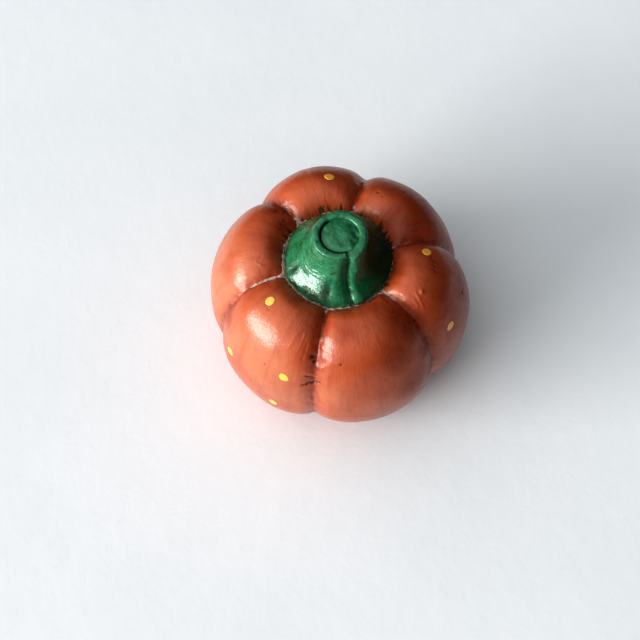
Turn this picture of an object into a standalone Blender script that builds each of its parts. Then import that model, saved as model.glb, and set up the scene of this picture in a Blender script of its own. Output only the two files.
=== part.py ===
"""Hand-built ceramic pumpkin figure, as the clay pieces that it is assembled from.

Two hollow half shells are luted rim to rim with a ring of slip. A solid plug stands in the opening
of the upper half, and a rolled strip of clay wraps the plug to make the stem. A bead of slip seats
the stem in its hollow, and raised enamel dots stand on every other lobe. The object faces -Y, +Z is
up, and it rests on z = 0. The shells are modelled about the plane where they join.
"""

import math

import bmesh
import bpy
from mathutils import Matrix, Vector

MM = 0.001
GAP = 0.35 * MM  # between pieces that touch

# Body: a turned form whose six lobes are pressed in between creases.
BODY_RADIUS = 40 * MM
CROWN_RADIUS = 22.8 * MM  # where the lobes are highest and lowest
CROWN_RISE = 29 * MM  # lobe tops above the joint
BELLY_DROP = 25.3 * MM  # lobe undersides below the joint, before the foot is flattened
JOINT_CENTRE = (-0.75 * MM, -0.6 * MM, 24.2 * MM)  # centres the figure over the origin
JOINT_HEIGHT = JOINT_CENTRE[2]  # the flat foot to the joint between the halves
WALL = 5 * MM
CREASES = (13.5, 75.0, 134.0, 199.0, 258.5, 320.0)  # azimuths in degrees
LOBE_REACH = (1.0, 1.0, 0.99, 0.995, 1.0, 1.015)  # of the lobe after each crease
CREASE_INSET = 0.075  # share of the radius that a crease loses
CREASE_DROP = 0.14  # share of the height that it loses
LOBE_FULLNESS = 0.6  # below 1 makes puffed lobes and sharp creases
TOP_FADE = (9 * MM, 23 * MM)  # creases grow between these radii on the upper half
FOOT_FADE = (9 * MM, 21 * MM)  # and between these on the lower half
FOOT_RINGS = (8 * MM, 13 * MM, 18 * MM)
VENT_RADIUS = 4.5 * MM

# Seat of the stem: the lobes dip round it to a floor with an opening.
DIP_WIDTH = 8.5 * MM
DIP_DEPTH = 11 * MM
DIP_TURN = 60  # degrees of the dip's quarter ellipse, down to the floor
UNDER_DIP_WIDTH = 7 * MM  # the same dip on the inside
UNDER_DIP_DEPTH = 6 * MM
UNDER_DIP_TURN = 75
FLOOR_RISE = 22.5 * MM  # the floor at the opening, above the joint
OPENING_RADIUS = 6.2 * MM

# Joint between the halves.
SLIP_THICKNESS = 0.8 * MM
RIM_OFFSET = SLIP_THICKNESS / 2 + GAP

# Stem, from the plane of its skirt's edge.
STEM_BASE = 25.25 * MM  # above the joint
STEM_HEIGHT = 14.7 * MM
STEM_LEAN = (0.04, -0.02)  # to the right and to the front, for each unit of height
SKIRT_RADIUS = 15.6 * MM
SKIRT_CORNER = 0.03  # share that the skirt reaches into each crease
FLARE = 1.35  # above 1 hollows the skirt's side
NECK_RADIUS = 8.0 * MM
BORE_RADIUS = 5.7 * MM
RIM_RISE = 1.1 * MM  # height of the neck's rounded rim
SOLE = ((0, 0.45 * MM), (8.7 * MM, 1.45 * MM))  # underside: out from the bore, up from the floor
SEAM_AZIMUTH = -72  # where the strip's end laps over its start, in degrees
SEAM_DEPTH = 1.2 * MM
LAP_HEIGHT = 0.8 * MM
LAP_FADE = 40  # degrees over which the lap dies away
LAP_LIFT = (-1 * MM, 3 * MM)  # the lap grows between these heights
PLUG_RADIUS = 5.2 * MM
PLUG_DROP = 0.5 * MM  # the plug's edge below the rim
PLUG_STEPS = ((0.4 * MM, 0.25 * MM), (2.2 * MM, 0.25 * MM))  # in and up, over its domed top

# Bead of slip round the stem.
BEAD_RADIUS = 0.45 * MM
BEAD_TURN = (135, 116)  # degrees round the lobes' section, mid-lobe and in the creases

# Raised dots of enamel.
DOT_RADIUS = 1.6 * MM
DOT_HALF_HEIGHT = 0.35 * MM
# A side's lobe, and its dots: place across it, from -1 to 1, and degrees round its section.
DOTS = {
    "front_left": (3, ((-0.34, 82), (0.54, 31), (-0.5, 14), (0.38, -8))),
    "back": (1, ((-0.29, 79), (0.42, 28), (-0.45, 6), (0.3, -26))),
    "right": (5, ((0.57, 79), (-0.53, 32), (0.45, -12), (-0.2, -30))),
}

LOBES = len(CREASES)
LOBE_STEPS = 10
BODY_STEPS = LOBES * LOBE_STEPS
ARC_STEPS = 8
DIP_STEPS = 4
RIM_STEPS = 6
STEM_STEPS = 48
MERGE = 0.01 * MM
SHARP = math.radians(40)

ORANGE = (0.50, 0.105, 0.032)
GREEN = (0.012, 0.13, 0.052)
SLIP = (0.52, 0.39, 0.31)
YELLOW = (0.85, 0.55, 0.06)


# ---------------------------------------------------------------- shared form


def smooth_step(edges, value):
    """0 below the first edge, 1 above the second, smooth between."""
    share = min(1.0, max(0.0, (value - edges[0]) / (edges[1] - edges[0])))
    return share * share * (3 - 2 * share)


def lobe_azimuth(lobe, across):
    """Radians of a place across a lobe, from -1 at its first crease to 1 at its second."""
    start = CREASES[lobe]
    end = CREASES[(lobe + 1) % LOBES] + (360 if lobe == LOBES - 1 else 0)
    return math.radians(start + (end - start) * (across + 1) / 2)


def lobe_place(turn):
    """(lobe, place across it) of an evenly turned angle, where each lobe has an equal share."""
    share = (turn / math.tau) % 1.0 * LOBES
    lobe = int(share) % LOBES
    return lobe, 2 * (share - int(share)) - 1


def bulge(across):
    """1 at the middle of a lobe, 0 in its creases."""
    return abs(math.cos(math.pi / 2 * across)) ** LOBE_FULLNESS


def lobed(lobe, across, radius, height):
    """A point of the turned form, carried to its lobe. Height is measured from the joint."""
    fade = smooth_step(TOP_FADE if height > 0 else FOOT_FADE, radius)
    full = bulge(across)
    pinch = (1 - full) * fade
    reach = 1 + (LOBE_REACH[lobe] - 1) * full
    azimuth = lobe_azimuth(lobe, across)
    flat = radius * reach * (1 - CREASE_INSET * pinch)
    rise = max(height * (1 - CREASE_DROP * pinch), -JOINT_HEIGHT)
    return Vector((flat * math.cos(azimuth), flat * math.sin(azimuth), rise))


def crease_share(azimuth):
    """1 on a crease, 0 at the middle of a lobe, for an azimuth in radians."""
    degrees = math.degrees(azimuth)
    nearest = min(abs((degrees - crease + 180) % 360 - 180) for crease in CREASES)
    return max(0.0, 1 - nearest * LOBES / 180)


def section(degrees):
    """(radius, height) on the turned outer section: 0 is the joint and 90 the lobe's top. Past 90
    it dips to the stem's seat."""
    angle = math.radians(degrees)
    centre, width, rise = 0, BODY_RADIUS - CROWN_RADIUS, CROWN_RISE
    if degrees < 0:
        rise = BELLY_DROP
    elif degrees > 90:
        centre, width, rise = CROWN_RISE - DIP_DEPTH, DIP_WIDTH, DIP_DEPTH
    return CROWN_RADIUS + width * math.cos(angle), centre + rise * math.sin(angle)


def off_skin(lobe, across, degrees, lift):
    """A point this far off the lobes' outer surface, and the direction that faces out there."""
    turn, shift = 0.2, 0.01
    here = section(degrees)
    low, high = section(degrees - turn), section(degrees + turn)
    up = lobed(lobe, across, *high) - lobed(lobe, across, *low)
    along = lobed(lobe, across + shift, *here) - lobed(lobe, across - shift, *here)
    outward = along.cross(up).normalized()
    return lobed(lobe, across, *here) + outward * lift, outward


# ---------------------------------------------------------------- Blender helpers


def clear_scene():
    for obj in list(bpy.data.objects):
        bpy.data.objects.remove(obj, do_unlink=True)


def make_collection(name):
    collection = bpy.data.collections.new(name)
    bpy.context.scene.collection.children.link(collection)
    return collection


def make_material(name, colour, roughness):
    material = bpy.data.materials.new(name)
    material.use_nodes = True
    shader = material.node_tree.nodes["Principled BSDF"]
    shader.inputs["Base Color"].default_value = (*colour, 1)
    shader.inputs["Roughness"].default_value = roughness
    shader.inputs["Metallic"].default_value = 0
    return material


def add_object(name, data, material, parent, collection):
    data.materials.clear()
    data.materials.append(material)
    obj = bpy.data.objects.new(name, data)
    obj.parent = parent
    collection.objects.link(obj)
    return obj


def add_axis(name, place, parent, collection):
    axis = bpy.data.objects.new(name, None)
    axis.location = place
    axis.parent = parent
    collection.objects.link(axis)
    return axis


def to_mesh(name, shape):
    """Turns a bmesh into a mesh, shaded smooth except at its sharp edges."""
    mesh = bpy.data.meshes.new(name)
    shape.to_mesh(mesh)
    shape.free()
    mesh.shade_smooth()
    mesh.set_sharp_from_angle(angle=SHARP)
    return mesh


def turned_mesh(name, profile, steps, start=0.0):
    """A closed outline of (radius, height) points, turned all the way round Z."""
    shape = bmesh.new()
    side = Vector((math.cos(start), math.sin(start), 0))
    outline = [shape.verts.new(side * radius + Vector((0, 0, z))) for radius, z in profile]
    edges = [shape.edges.new(pair) for pair in zip(outline, outline[1:] + outline[:1])]
    bmesh.ops.spin(
        shape,
        geom=outline + edges,
        cent=(0, 0, 0),
        axis=(0, 0, 1),
        angle=math.tau,
        steps=steps,
        use_merge=True,
    )
    bmesh.ops.remove_doubles(shape, verts=shape.verts, dist=MERGE)
    bmesh.ops.recalc_face_normals(shape, faces=shape.faces)
    return to_mesh(name, shape)


def press_lobes(mesh):
    """Moves a turned mesh's points onto the lobes."""
    for vertex in mesh.vertices:
        x, y, z = vertex.co
        lobe, across = lobe_place(math.atan2(y, x))
        vertex.co = lobed(lobe, across, math.hypot(x, y), z)
    mesh.update()
    return mesh


def arc(centre, width, rise, first, last, steps=ARC_STEPS):
    """Points of an ellipse's arc, from the first to the last angle in degrees."""
    turns = [math.radians(first + (last - first) * i / steps) for i in range(steps + 1)]
    return [(centre[0] + width * math.cos(t), centre[1] + rise * math.sin(t)) for t in turns]


# ---------------------------------------------------------------- body


def rim_turn(rise):
    """Degrees at which an arc this high clears the joint's slip."""
    return math.degrees(math.asin(RIM_OFFSET / rise))


def upper_half():
    """Upper half shell: rim, lobe tops, the stem's seat and its opening, then back inside."""
    crown = (CROWN_RADIUS, 0)
    reach = BODY_RADIUS - CROWN_RADIUS
    outside = arc(crown, reach, CROWN_RISE, rim_turn(CROWN_RISE), 90)
    dip = (CROWN_RADIUS, CROWN_RISE - DIP_DEPTH)
    seat = arc(dip, DIP_WIDTH, DIP_DEPTH, 90, 90 + DIP_TURN, DIP_STEPS)[1:]
    opening = [(OPENING_RADIUS, FLOOR_RISE), (OPENING_RADIUS, FLOOR_RISE - WALL)]
    inner_rise = CROWN_RISE - WALL
    under_dip = (CROWN_RADIUS, inner_rise - UNDER_DIP_DEPTH)
    under_seat = arc(
        under_dip, UNDER_DIP_WIDTH, UNDER_DIP_DEPTH, 90 + UNDER_DIP_TURN, 90, DIP_STEPS
    )
    inside = arc(crown, reach - WALL, inner_rise, 90, rim_turn(inner_rise))[1:]
    profile = outside + seat + opening + under_seat + inside
    return press_lobes(turned_mesh("upper_half_shell", profile, BODY_STEPS))


def lower_half():
    """Lower half shell: vent, flattened foot, lobe undersides, rim, then back inside."""
    crown = (CROWN_RADIUS, 0)
    reach = BODY_RADIUS - CROWN_RADIUS
    foot = [(radius, -BELLY_DROP) for radius in (VENT_RADIUS, *FOOT_RINGS)]
    outside = arc(crown, reach, BELLY_DROP, -90, -rim_turn(BELLY_DROP))
    depth = JOINT_HEIGHT - WALL
    inside = arc(crown, reach - WALL, depth, -rim_turn(depth), -90)
    floor = [(radius, -depth) for radius in (FOOT_RINGS[1], VENT_RADIUS)]
    return press_lobes(turned_mesh("lower_half_shell", foot + outside + inside + floor, BODY_STEPS))


def joint_slip():
    """Ring of slip that lutes the two rims."""
    half = SLIP_THICKNESS / 2
    inner, outer = BODY_RADIUS - WALL, BODY_RADIUS - GAP
    profile = [(inner, -half), (outer, -half), (outer, half), (inner, half)]
    return press_lobes(turned_mesh("joint_slip_ring", profile, BODY_STEPS))


# ---------------------------------------------------------------- stem


def lean(mesh):
    """Leans what stands above the skirt's edge to the right and back."""
    for vertex in mesh.vertices:
        rise = max(0.0, vertex.co.z)
        vertex.co.x += STEM_LEAN[0] * rise
        vertex.co.y += STEM_LEAN[1] * rise
    mesh.update()
    return mesh


def plug():
    """Solid plug of clay: its tenon fills the body's opening, and its domed top shows in the rim."""
    foot = FLOOR_RISE - WALL + GAP - STEM_BASE
    edge = STEM_HEIGHT - PLUG_DROP
    shape = bmesh.new()
    bmesh.ops.create_cone(
        shape,
        cap_ends=True,
        segments=STEM_STEPS // 2,
        radius1=PLUG_RADIUS,
        radius2=PLUG_RADIUS,
        depth=edge - foot,
        matrix=Matrix.Translation((0, 0, (edge + foot) / 2)),
    )
    top = [face for face in shape.faces if face.normal.z > 0.9]
    for inset, rise in PLUG_STEPS:
        bmesh.ops.inset_region(shape, faces=top, thickness=inset, depth=rise)
    return lean(to_mesh("stem_plug", shape))


def wrap_outline():
    """(radius, height) points round the wrap's section: flared side, rounded rim, sole."""
    neck = STEM_HEIGHT - RIM_RISE
    shares = [i / ARC_STEPS for i in range(ARC_STEPS + 1)]
    flare = SKIRT_RADIUS - NECK_RADIUS
    side = [(NECK_RADIUS + flare * (1 - share) ** FLARE, neck * share) for share in shares]
    rim_width = (NECK_RADIUS - BORE_RADIUS) / 2
    rim = arc((BORE_RADIUS + rim_width, neck), rim_width, RIM_RISE, 0, 180, RIM_STEPS)[1:]
    sole = [(BORE_RADIUS + out, FLOOR_RISE + up - STEM_BASE) for out, up in SOLE]
    return side + rim + sole


def wrap():
    """Rolled strip round the plug: flared skirt, rounded rim, and its end lapped over its start."""
    mesh = turned_mesh("stem_wrap", wrap_outline(), STEM_STEPS, math.radians(SEAM_AZIMUTH))
    seam_width = 1  # degrees, less than a step of the mesh
    for vertex in mesh.vertices:
        x, y, z = vertex.co
        radius, azimuth = math.hypot(x, y), math.atan2(y, x)
        outer = smooth_step((BORE_RADIUS, NECK_RADIUS), radius)
        past_seam = (math.degrees(azimuth) - SEAM_AZIMUTH + seam_width) % 360 - seam_width
        if past_seam < seam_width:
            radius -= SEAM_DEPTH * outer
        else:
            lap = LAP_HEIGHT * math.exp(-past_seam / LAP_FADE) * smooth_step(LAP_LIFT, z)
            radius += lap * outer
        skirt = smooth_step((NECK_RADIUS, SKIRT_RADIUS), radius)
        radius *= 1 + SKIRT_CORNER * crease_share(azimuth) * skirt
        vertex.co = (radius * math.cos(azimuth), radius * math.sin(azimuth), z)
    return lean(mesh)


def bead():
    """Bead of slip on the lobes round the skirt, drawn out a little into every crease."""
    curve = bpy.data.curves.new("stem_slip_bead", "CURVE")
    curve.dimensions = "3D"
    curve.bevel_depth = BEAD_RADIUS
    curve.bevel_resolution = 1
    spline = curve.splines.new("POLY")
    spline.points.add(BODY_STEPS - 1)
    spline.use_cyclic_u = True
    for i, point in enumerate(spline.points):
        lobe, across = lobe_place(math.tau * i / BODY_STEPS)
        turn = BEAD_TURN[1] + (BEAD_TURN[0] - BEAD_TURN[1]) * bulge(across)
        centre = off_skin(lobe, across, turn, BEAD_RADIUS + GAP)[0]
        point.co = (*centre, 1)
    return curve


# ---------------------------------------------------------------- dots


def dot_mesh():
    shape = bmesh.new()
    bmesh.ops.create_uvsphere(shape, u_segments=12, v_segments=6, radius=DOT_RADIUS)
    flatten = DOT_HALF_HEIGHT / DOT_RADIUS
    bmesh.ops.scale(shape, verts=shape.verts, vec=(1, 1, flatten))
    return to_mesh("dot", shape)


def place_dot(obj, lobe, across, degrees):
    """Stands a dot on its lobe, facing out along the surface."""
    centre, outward = off_skin(lobe, across, degrees, DOT_HALF_HEIGHT + GAP)
    obj.location = centre
    obj.rotation_mode = "QUATERNION"
    obj.rotation_quaternion = outward.to_track_quat("Z", "Y")


# ---------------------------------------------------------------- assembly


def main():
    clear_scene()
    collection = make_collection("ceramic_pumpkin")
    orange = make_material("orange_painted_clay", ORANGE, 0.35)
    green = make_material("green_painted_clay", GREEN, 0.3)
    slip = make_material("bare_slip", SLIP, 0.85)
    yellow = make_material("yellow_enamel", YELLOW, 0.3)

    joint = add_axis("joint_plane", JOINT_CENTRE, None, collection)
    stem_axis = add_axis("stem_axis", (0, 0, STEM_BASE), joint, collection)

    add_object("lower_half_shell", lower_half(), orange, joint, collection)
    add_object("joint_slip_ring", joint_slip(), slip, joint, collection)
    add_object("upper_half_shell", upper_half(), orange, joint, collection)
    add_object("stem_plug", plug(), green, stem_axis, collection)
    add_object("stem_wrap", wrap(), green, stem_axis, collection)
    add_object("stem_slip_bead", bead(), slip, joint, collection)

    dot = dot_mesh()
    for side, (lobe, places) in DOTS.items():
        for number, (across, degrees) in enumerate(places, 1):
            name = f"dot_{side}_{number}"
            place_dot(add_object(name, dot, yellow, joint, collection), lobe, across, degrees)


main()
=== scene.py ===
import math

import bpy
import numpy as np
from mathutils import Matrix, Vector, noise


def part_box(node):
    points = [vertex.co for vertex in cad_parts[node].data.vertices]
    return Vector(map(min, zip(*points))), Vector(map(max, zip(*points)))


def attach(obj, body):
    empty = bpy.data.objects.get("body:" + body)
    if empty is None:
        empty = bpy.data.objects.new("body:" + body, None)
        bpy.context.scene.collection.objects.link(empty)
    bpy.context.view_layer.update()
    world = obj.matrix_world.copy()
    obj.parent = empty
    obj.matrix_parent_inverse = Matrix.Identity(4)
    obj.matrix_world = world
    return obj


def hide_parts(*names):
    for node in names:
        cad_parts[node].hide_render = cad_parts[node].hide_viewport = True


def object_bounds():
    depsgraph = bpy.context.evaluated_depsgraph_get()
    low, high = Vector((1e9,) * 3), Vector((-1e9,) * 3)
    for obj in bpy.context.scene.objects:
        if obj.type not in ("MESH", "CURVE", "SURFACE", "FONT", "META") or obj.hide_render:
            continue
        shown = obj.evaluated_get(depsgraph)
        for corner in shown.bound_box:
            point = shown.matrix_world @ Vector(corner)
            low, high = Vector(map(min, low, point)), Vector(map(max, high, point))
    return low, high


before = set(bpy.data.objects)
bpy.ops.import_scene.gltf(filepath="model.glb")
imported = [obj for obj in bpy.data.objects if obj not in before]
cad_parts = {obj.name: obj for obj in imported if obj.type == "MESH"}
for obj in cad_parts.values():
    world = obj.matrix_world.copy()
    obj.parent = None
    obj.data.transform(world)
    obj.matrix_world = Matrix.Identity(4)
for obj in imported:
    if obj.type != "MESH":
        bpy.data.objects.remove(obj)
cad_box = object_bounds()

MM = 0.001

# ---- form, as in the CAD model
#
# A place on the body is given by its lobe, numbered anticlockwise from 0 at the back right, the place
# across that lobe, from -1 at its first crease to 1 at its next, and degrees round the turned
# section: -90 is under the foot, 0 the joint, 90 the lobe's top, and more than 90 the dip to the stem.

BODY_RADIUS = 40 * MM
CROWN_RADIUS = 22.8 * MM  # where the lobes are highest and lowest
CROWN_RISE = 29 * MM
BELLY_DROP = 25.3 * MM
JOINT_XY = (-0.75 * MM, -0.6 * MM)
WALL = 5 * MM
CREASES = (13.5, 75.0, 134.0, 199.0, 258.5, 320.0)  # azimuths in degrees
LOBE_REACH = (1.0, 1.0, 0.99, 0.995, 1.0, 1.015)
CREASE_INSET = 0.075
CREASE_DROP = 0.14
LOBE_FULLNESS = 0.6
CREASE_ROUND = 0.055  # rounds the bottom of a crease, as paint and slip fill it
TOP_FADE = (9 * MM, 23 * MM)
FOOT_FADE = (9 * MM, 21 * MM)
FOOT_RINGS = (8 * MM, 13 * MM, 18 * MM)
VENT_RADIUS = 4.5 * MM
DIP_WIDTH = 8.5 * MM
DIP_DEPTH = 11 * MM
DIP_TURN = 60
SEAT_EDGE = 90.0 + DIP_TURN  # degrees where the lobes end, under the stem
UNDER_DIP_WIDTH = 7 * MM
UNDER_DIP_DEPTH = 6 * MM
UNDER_DIP_TURN = 75
FLOOR_RISE = 22.5 * MM
OPENING_RADIUS = 6.2 * MM
STEM_BASE = 25.25 * MM
STEM_HEIGHT = 14.7 * MM
STEM_LEAN = (0.04, -0.02)
DOT_SPREAD = 1.42 * MM  # radius of a dot
DOTS = {  # lobe, and the places across it and degrees of its dots
    "front_left": (3, ((-0.34, 82), (0.54, 31), (-0.5, 14), (0.38, -8))),
    "back": (1, ((-0.29, 79), (0.42, 28), (-0.45, 6), (0.3, -26))),
    "right": (5, ((0.57, 79), (-0.53, 32), (0.45, -12), (-0.2, -30))),
}
LOBES = len(CREASES)
LOBE_EDGES = np.array((*CREASES, CREASES[0] + 360))
CREASE_WASH_AND_SHADE = (0.95, 0.7, 1.0, 0.9, 0.95, 0.45)  # how much dark wash and painted shade each crease holds

ring_low, ring_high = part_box("joint_slip_ring")
JOINT_HEIGHT = (ring_low.z + ring_high.z) / 2
CENTRE = np.array((*JOINT_XY, JOINT_HEIGHT))

# ---- detail of the visible surface

LOBE_COLUMNS = 116
JOINT_COLUMNS = 30
SLIP_COLUMNS = 100
CREASE_CROWD = 0.62  # share of the columns' spacing that crowds towards the creases
TOP_ROWS = 130
DIP_ROWS = 36
BELLY_ROWS = 64
STEM_COLUMNS = 420
STEM_ROWS = 96
RIM_ROWS = 25
DISC_COLUMNS = 180
SHARP = math.radians(62)  # edges with a wider turn than this are shaded sharp

# Layers of unevenness: how much in mm, size of the features in mm, and the noise's seed.
BODY_UNEVEN = ((0.42, 17, 3.1), (0.16, 7, 8.4), (0.045, 2.4, 5.7))
STEM_UNEVEN = ((0.32, 6, 4.4), (0.13, 2.2, 9.1), (0.05, 0.9, 2.9))
RIM_UNEVEN = ((0.16, 3, 1.9), (0.06, 1.1, 5.2))
DISC_UNEVEN = ((0.26, 3.4, 6.6), (0.09, 1.3, 3.3), (0.03, 0.7, 8.3))
SLIP_WIDTH_UNEVEN = ((0.55, 3.5, 2.4), (0.8, 1.2, 8.8))
SLIP_THICKNESS_UNEVEN = ((0.3, 1.5, 4.1), (0.2, 0.7, 1.1))
# The same for what the creases add, and the power of its fading away from them.
CREASE_UNEVEN = ((0.22, 2.6, 1.3, 1.0), (0.075, 1.5, 4.9, 0.4))
CREASE_REACH = 2.2 * MM
STROKE_RAGGED = ((0.5, 1.2, 2.2),)  # the same again, as a share of a stroke's height
FOOT_CALM = (0.6 * MM, 7 * MM)  # heights between which the unevenness begins above the foot
SEAT_CALM = (128, 145)  # degrees between which it falls to this share under the stem
SEAT_SHARE = 0.4

# Where the lobes have small pits: lobe, place across it, degrees, radius in mm, and depth in mm, below
# zero for a lump.
PITS = (
    (5, 0.10, 34, 0.5, 0.5), (5, 0.40, 75, 0.4, 0.28), (5, 0.31, 73, 0.3, 0.2),
    (5, 0.20, 73, 0.35, 0.22), (5, 0.06, 71, 0.3, 0.2), (0, 0.52, 85, 0.35, 0.28),
    (0, 0.37, 88, 0.3, 0.22), (0, 0.1, 70, 0.3, 0.15), (2, -0.78, 84, 0.55, 0.5),
    (2, -0.84, 88, 0.4, -0.35), (2, -0.7, 108, 0.5, 0.4), (3, -0.23, 76, 0.3, 0.2),
    (3, 0.92, 55, 0.8, 0.4), (3, 0.96, 51, 0.6, 0.3), (3, 0.2, 34, 0.35, 0.18),
    (4, -0.58, 52, 0.35, 0.2), (4, -0.35, 50, 0.25, 0.12), (4, 0.1, 33, 0.35, 0.2),
    (5, -0.51, 76, 0.6, -0.38), (2, -0.1, 40, 0.4, 0.25), (1, 0.3, 36, 0.45, 0.3),
    (1, -0.2, 10, 0.4, 0.2), (0, -0.3, 20, 0.5, 0.25), (4, -0.91, 65, 1.0, -0.22),
    (4, -0.88, 56, 0.9, -0.2), (4, -0.9, 46, 0.9, -0.2), (2, 0.3, -5, 0.4, 0.25),
)
# Scratches, cracks and smeared ridges: lobe, from (across, degrees), to (across, degrees), half
# width in mm, and height in mm, below zero for a groove.
STROKES = (
    (3, (0.82, 27.5), (0.90, 28.5), 0.42, -0.25), (3, (0.90, 30), (0.995, 30), 0.5, -0.35),
    (4, (-0.995, 31), (-0.91, 32.5), 0.46, -0.3), (3, (0.86, 37), (0.97, 36), 0.3, -0.2),
    (5, (-0.60, 80), (-0.66, 74), 0.36, 0.12), (5, (-0.68, 73), (-0.74, 65), 0.3, 0.12),
    (5, (-0.74, 79), (-0.79, 70), 0.3, 0.1), (5, (-0.84, 78), (-0.89, 70), 0.34, 0.1),
    (2, (0.50, 90), (0.62, 85), 0.3, -0.12), (2, (0.62, 84), (0.70, 88), 0.3, 0.1),
    (3, (0.55, 72), (0.5, 58), 0.34, 0.1), (3, (0.70, 74), (0.66, 57), 0.34, 0.1),
    (3, (0.78, 66), (0.76, 50), 0.34, -0.1), (1, (-0.4, 60), (-0.1, 56), 0.3, -0.1),
    (0, (0.4, 50), (0.6, 40), 0.3, -0.1),
)
# Where dark wash stayed in the brush marks, and painted shade on the lobes away from the window and in
# the stem's shadow: lobe, across, degrees, radius in mm, strength.
AGED_AND_SHADED = (
    (4, 0.35, 42, 7, 0.7), (4, 0.82, 62, 6, 1.0), (4, 0.9, 35, 5, 0.9),
    (4, 0.5, 18, 8, 0.75), (4, 0.75, 75, 6, 0.8), (4, 0.9, 12, 6, 0.6),
    (5, -0.4, 30, 7, 0.5), (5, 0.3, 45, 6, 0.4), (4, 0.15, 22, 6, 0.4),
    (4, -0.45, 80, 4, 0.6), (3, 0.75, 50, 3.5, 0.3), (3, 0.3, 28, 6, 0.2),
    (3, -0.85, 34, 4, 0.7), (5, 0.25, 74, 2.6, 0.6), (5, 0.1, 38, 5, 0.6),
    (5, -0.8, 40, 5, 0.5), (2, -0.8, 80, 4, 0.6), (2, -0.5, 116, 3, 1.0),
    (2, 0.2, 124, 2.6, 0.9), (3, 0.1, 118, 3, 0.7), (4, 0.3, 112, 3, 0.5),
    (5, -0.2, 124, 2.6, 0.6), (0, -0.2, 62, 11, 0.6), (0, -0.7, 88, 6, 0.75),
    (0, -0.2, 108, 5, 0.7), (0, 0.8, 30, 6, 0.5), (1, 0.7, 40, 6, 0.4),
    (1, -0.5, 15, 7, 0.5), (2, 0.0, 5, 7, 0.5), (5, 0.5, 0, 7, 0.5),
)
# Where the paint is paler, rubbed and with a painted sheen from the window on the lit left lobes: lobe,
# across, degrees, radius in mm, strength.
RUBBED_AND_SHEEN = (
    (3, 0.15, 30, 11, 1.0), (3, -0.5, 28, 9, 0.8), (3, 0.5, 14, 9, 0.7),
    (3, -0.1, 62, 6, 0.5), (2, 0.57, 30, 10, 1.0), (2, 0.1, 42, 9, 0.9),
    (2, -0.5, 25, 9, 0.8), (2, 0.7, 68, 6, 0.6), (4, -0.7, 22, 7, 0.6),
    (4, -0.1, 6, 8, 0.4), (1, 0.2, 25, 8, 0.6), (0, -0.3, -6, 9, 0.6),
    (5, 0.1, -12, 9, 0.6),
)
# Bare slip left in a crease: crease, the degrees that it starts from, and half its width in mm.
SLIP_TRACES = ((3, 66, 0.45), (5, 84, 0.45), (2, 104, 0.7), (1, 108, 0.6), (4, 112, 0.6), (0, 118, 0.3))
SLIP_START = (-4, 10)  # degrees over which a trace of slip begins

CREASE_STAIN_AND_SHADE = 2.4 * MM  # reach of the dark wash and painted shade from a crease
PIT_STAIN, STROKE_STAIN = 1.2, 1.3  # width of the stain for each width of its mark
DEEP_STROKE = -0.15  # a groove deeper than this, in mm, holds the wash
DEEP_STAIN, FAINT_STAIN = 0.75, 0.2  # strength in such a groove, and on other strokes and on lumps
SEAT_DAB_AND_SHADE_RADII = (15.8 * MM, 20.6 * MM)  # where the dark dabs and painted shade round the stem fade out
SEAT_DAB_AND_SHADE_TURNS = (90, 108)  # degrees over which they begin, inside the lobes' tops
BARE_FOOT = (0.2 * MM, 2.2 * MM)  # heights between which the paint begins above the foot


# ---- shape of the body


def smooth_step(edges, value):
    share = np.clip((value - edges[0]) / (edges[1] - edges[0]), 0, 1)
    return share * share * (3 - 2 * share)


def bell(distance, width):
    return np.exp(-((distance / width) ** 2))


def section(degrees):
    """Radius and height on the turned section: 0 is the joint, 90 a lobe's top, then the dip."""
    angle = np.radians(degrees)
    dips = degrees > 90
    centre = np.where(dips, CROWN_RISE - DIP_DEPTH, 0)
    width = np.where(dips, DIP_WIDTH, BODY_RADIUS - CROWN_RADIUS)
    rise = np.where(dips, DIP_DEPTH, np.where(degrees < 0, BELLY_DROP, CROWN_RISE))
    return CROWN_RADIUS + width * np.cos(angle), centre + rise * np.sin(angle)


def lobe_azimuth(lobe, across):
    start, end = LOBE_EDGES[lobe], LOBE_EDGES[lobe + 1]
    return np.radians(start + (end - start) * (across + 1) / 2)


def lobe_at(azimuth):
    """The lobe at an azimuth in radians, and the place across it."""
    turned = (np.degrees(azimuth) - CREASES[0]) % 360 + CREASES[0]
    lobe = np.clip(np.searchsorted(LOBE_EDGES, turned, side="right") - 1, 0, LOBES - 1)
    across = 2 * (turned - LOBE_EDGES[lobe]) / (LOBE_EDGES[lobe + 1] - LOBE_EDGES[lobe]) - 1
    return lobe, across


def turned_from(azimuth, degrees):
    """Signed degrees from one azimuth, in degrees, to others in radians."""
    return (np.degrees(azimuth) - degrees + 180) % 360 - 180


def round_distance(azimuth, degrees, radius):
    """Signed distance round the axis from an azimuth in degrees."""
    return np.radians(turned_from(azimuth, degrees)) * radius


def around(points):
    """Azimuth in radians and radius of points round the body's axis."""
    flat = points - CENTRE
    return np.arctan2(flat[..., 1], flat[..., 0]), np.hypot(flat[..., 0], flat[..., 1])


def bulge(across):
    """1 at the middle of a lobe, 0 in its creases."""
    level = np.abs(np.cos(math.pi / 2 * across))
    rounded = (level**2 + CREASE_ROUND**2) ** (LOBE_FULLNESS / 2)
    return rounded - CREASE_ROUND**LOBE_FULLNESS * bell(level, 0.25)


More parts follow.
